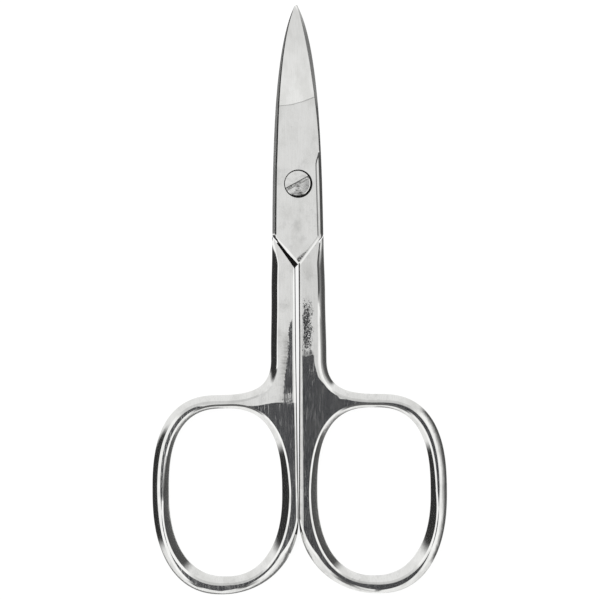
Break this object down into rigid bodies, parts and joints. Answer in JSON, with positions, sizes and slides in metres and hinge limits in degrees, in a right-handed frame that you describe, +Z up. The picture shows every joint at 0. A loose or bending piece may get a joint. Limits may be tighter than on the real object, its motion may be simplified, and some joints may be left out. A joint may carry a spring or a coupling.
{
  "type": "nail scissors",
  "caption": "Slim nail scissors with curved crossing blades, a flush slotted pivot screw, flat-faced shanks and an oval finger bow at the end of each shank.",
  "frame": {"origin": "on the resting plane, under the middle of the pair's length and width", "axes": "+X to the right over the bows, +Y towards the blade tips, +Z up through the pivot screw's slotted head"},
  "size_m": [0.045, 0.09, 0.0055],
  "materials": {
    "back_half": "bright nickel over finely brushed steel",
    "front_half": "bright nickel over finely brushed steel",
    "pivot_screw": "bright nickel, turned face"
  },
  "bodies": {
    "back_half": {"back_half": "back_half"},
    "front_half": {"front_half": "front_half"},
    "pivot_screw": {"pivot_screw": "pivot_screw"}
  },
  "joints": [
    {"name": "pivot_open", "type": "hinge", "parent": "back_half", "child": "front_half", "pos_m": [0, 0.0178, 0.0016], "axis": [0, 0, 1], "range_deg": [0, 130]},
    {"name": "screw_tension", "type": "hinge", "parent": "back_half", "child": "pivot_screw", "pos_m": [0, 0.0178, 0.0016], "axis": [0, 0, 1], "range_deg": [-45, 45]}
  ]
}
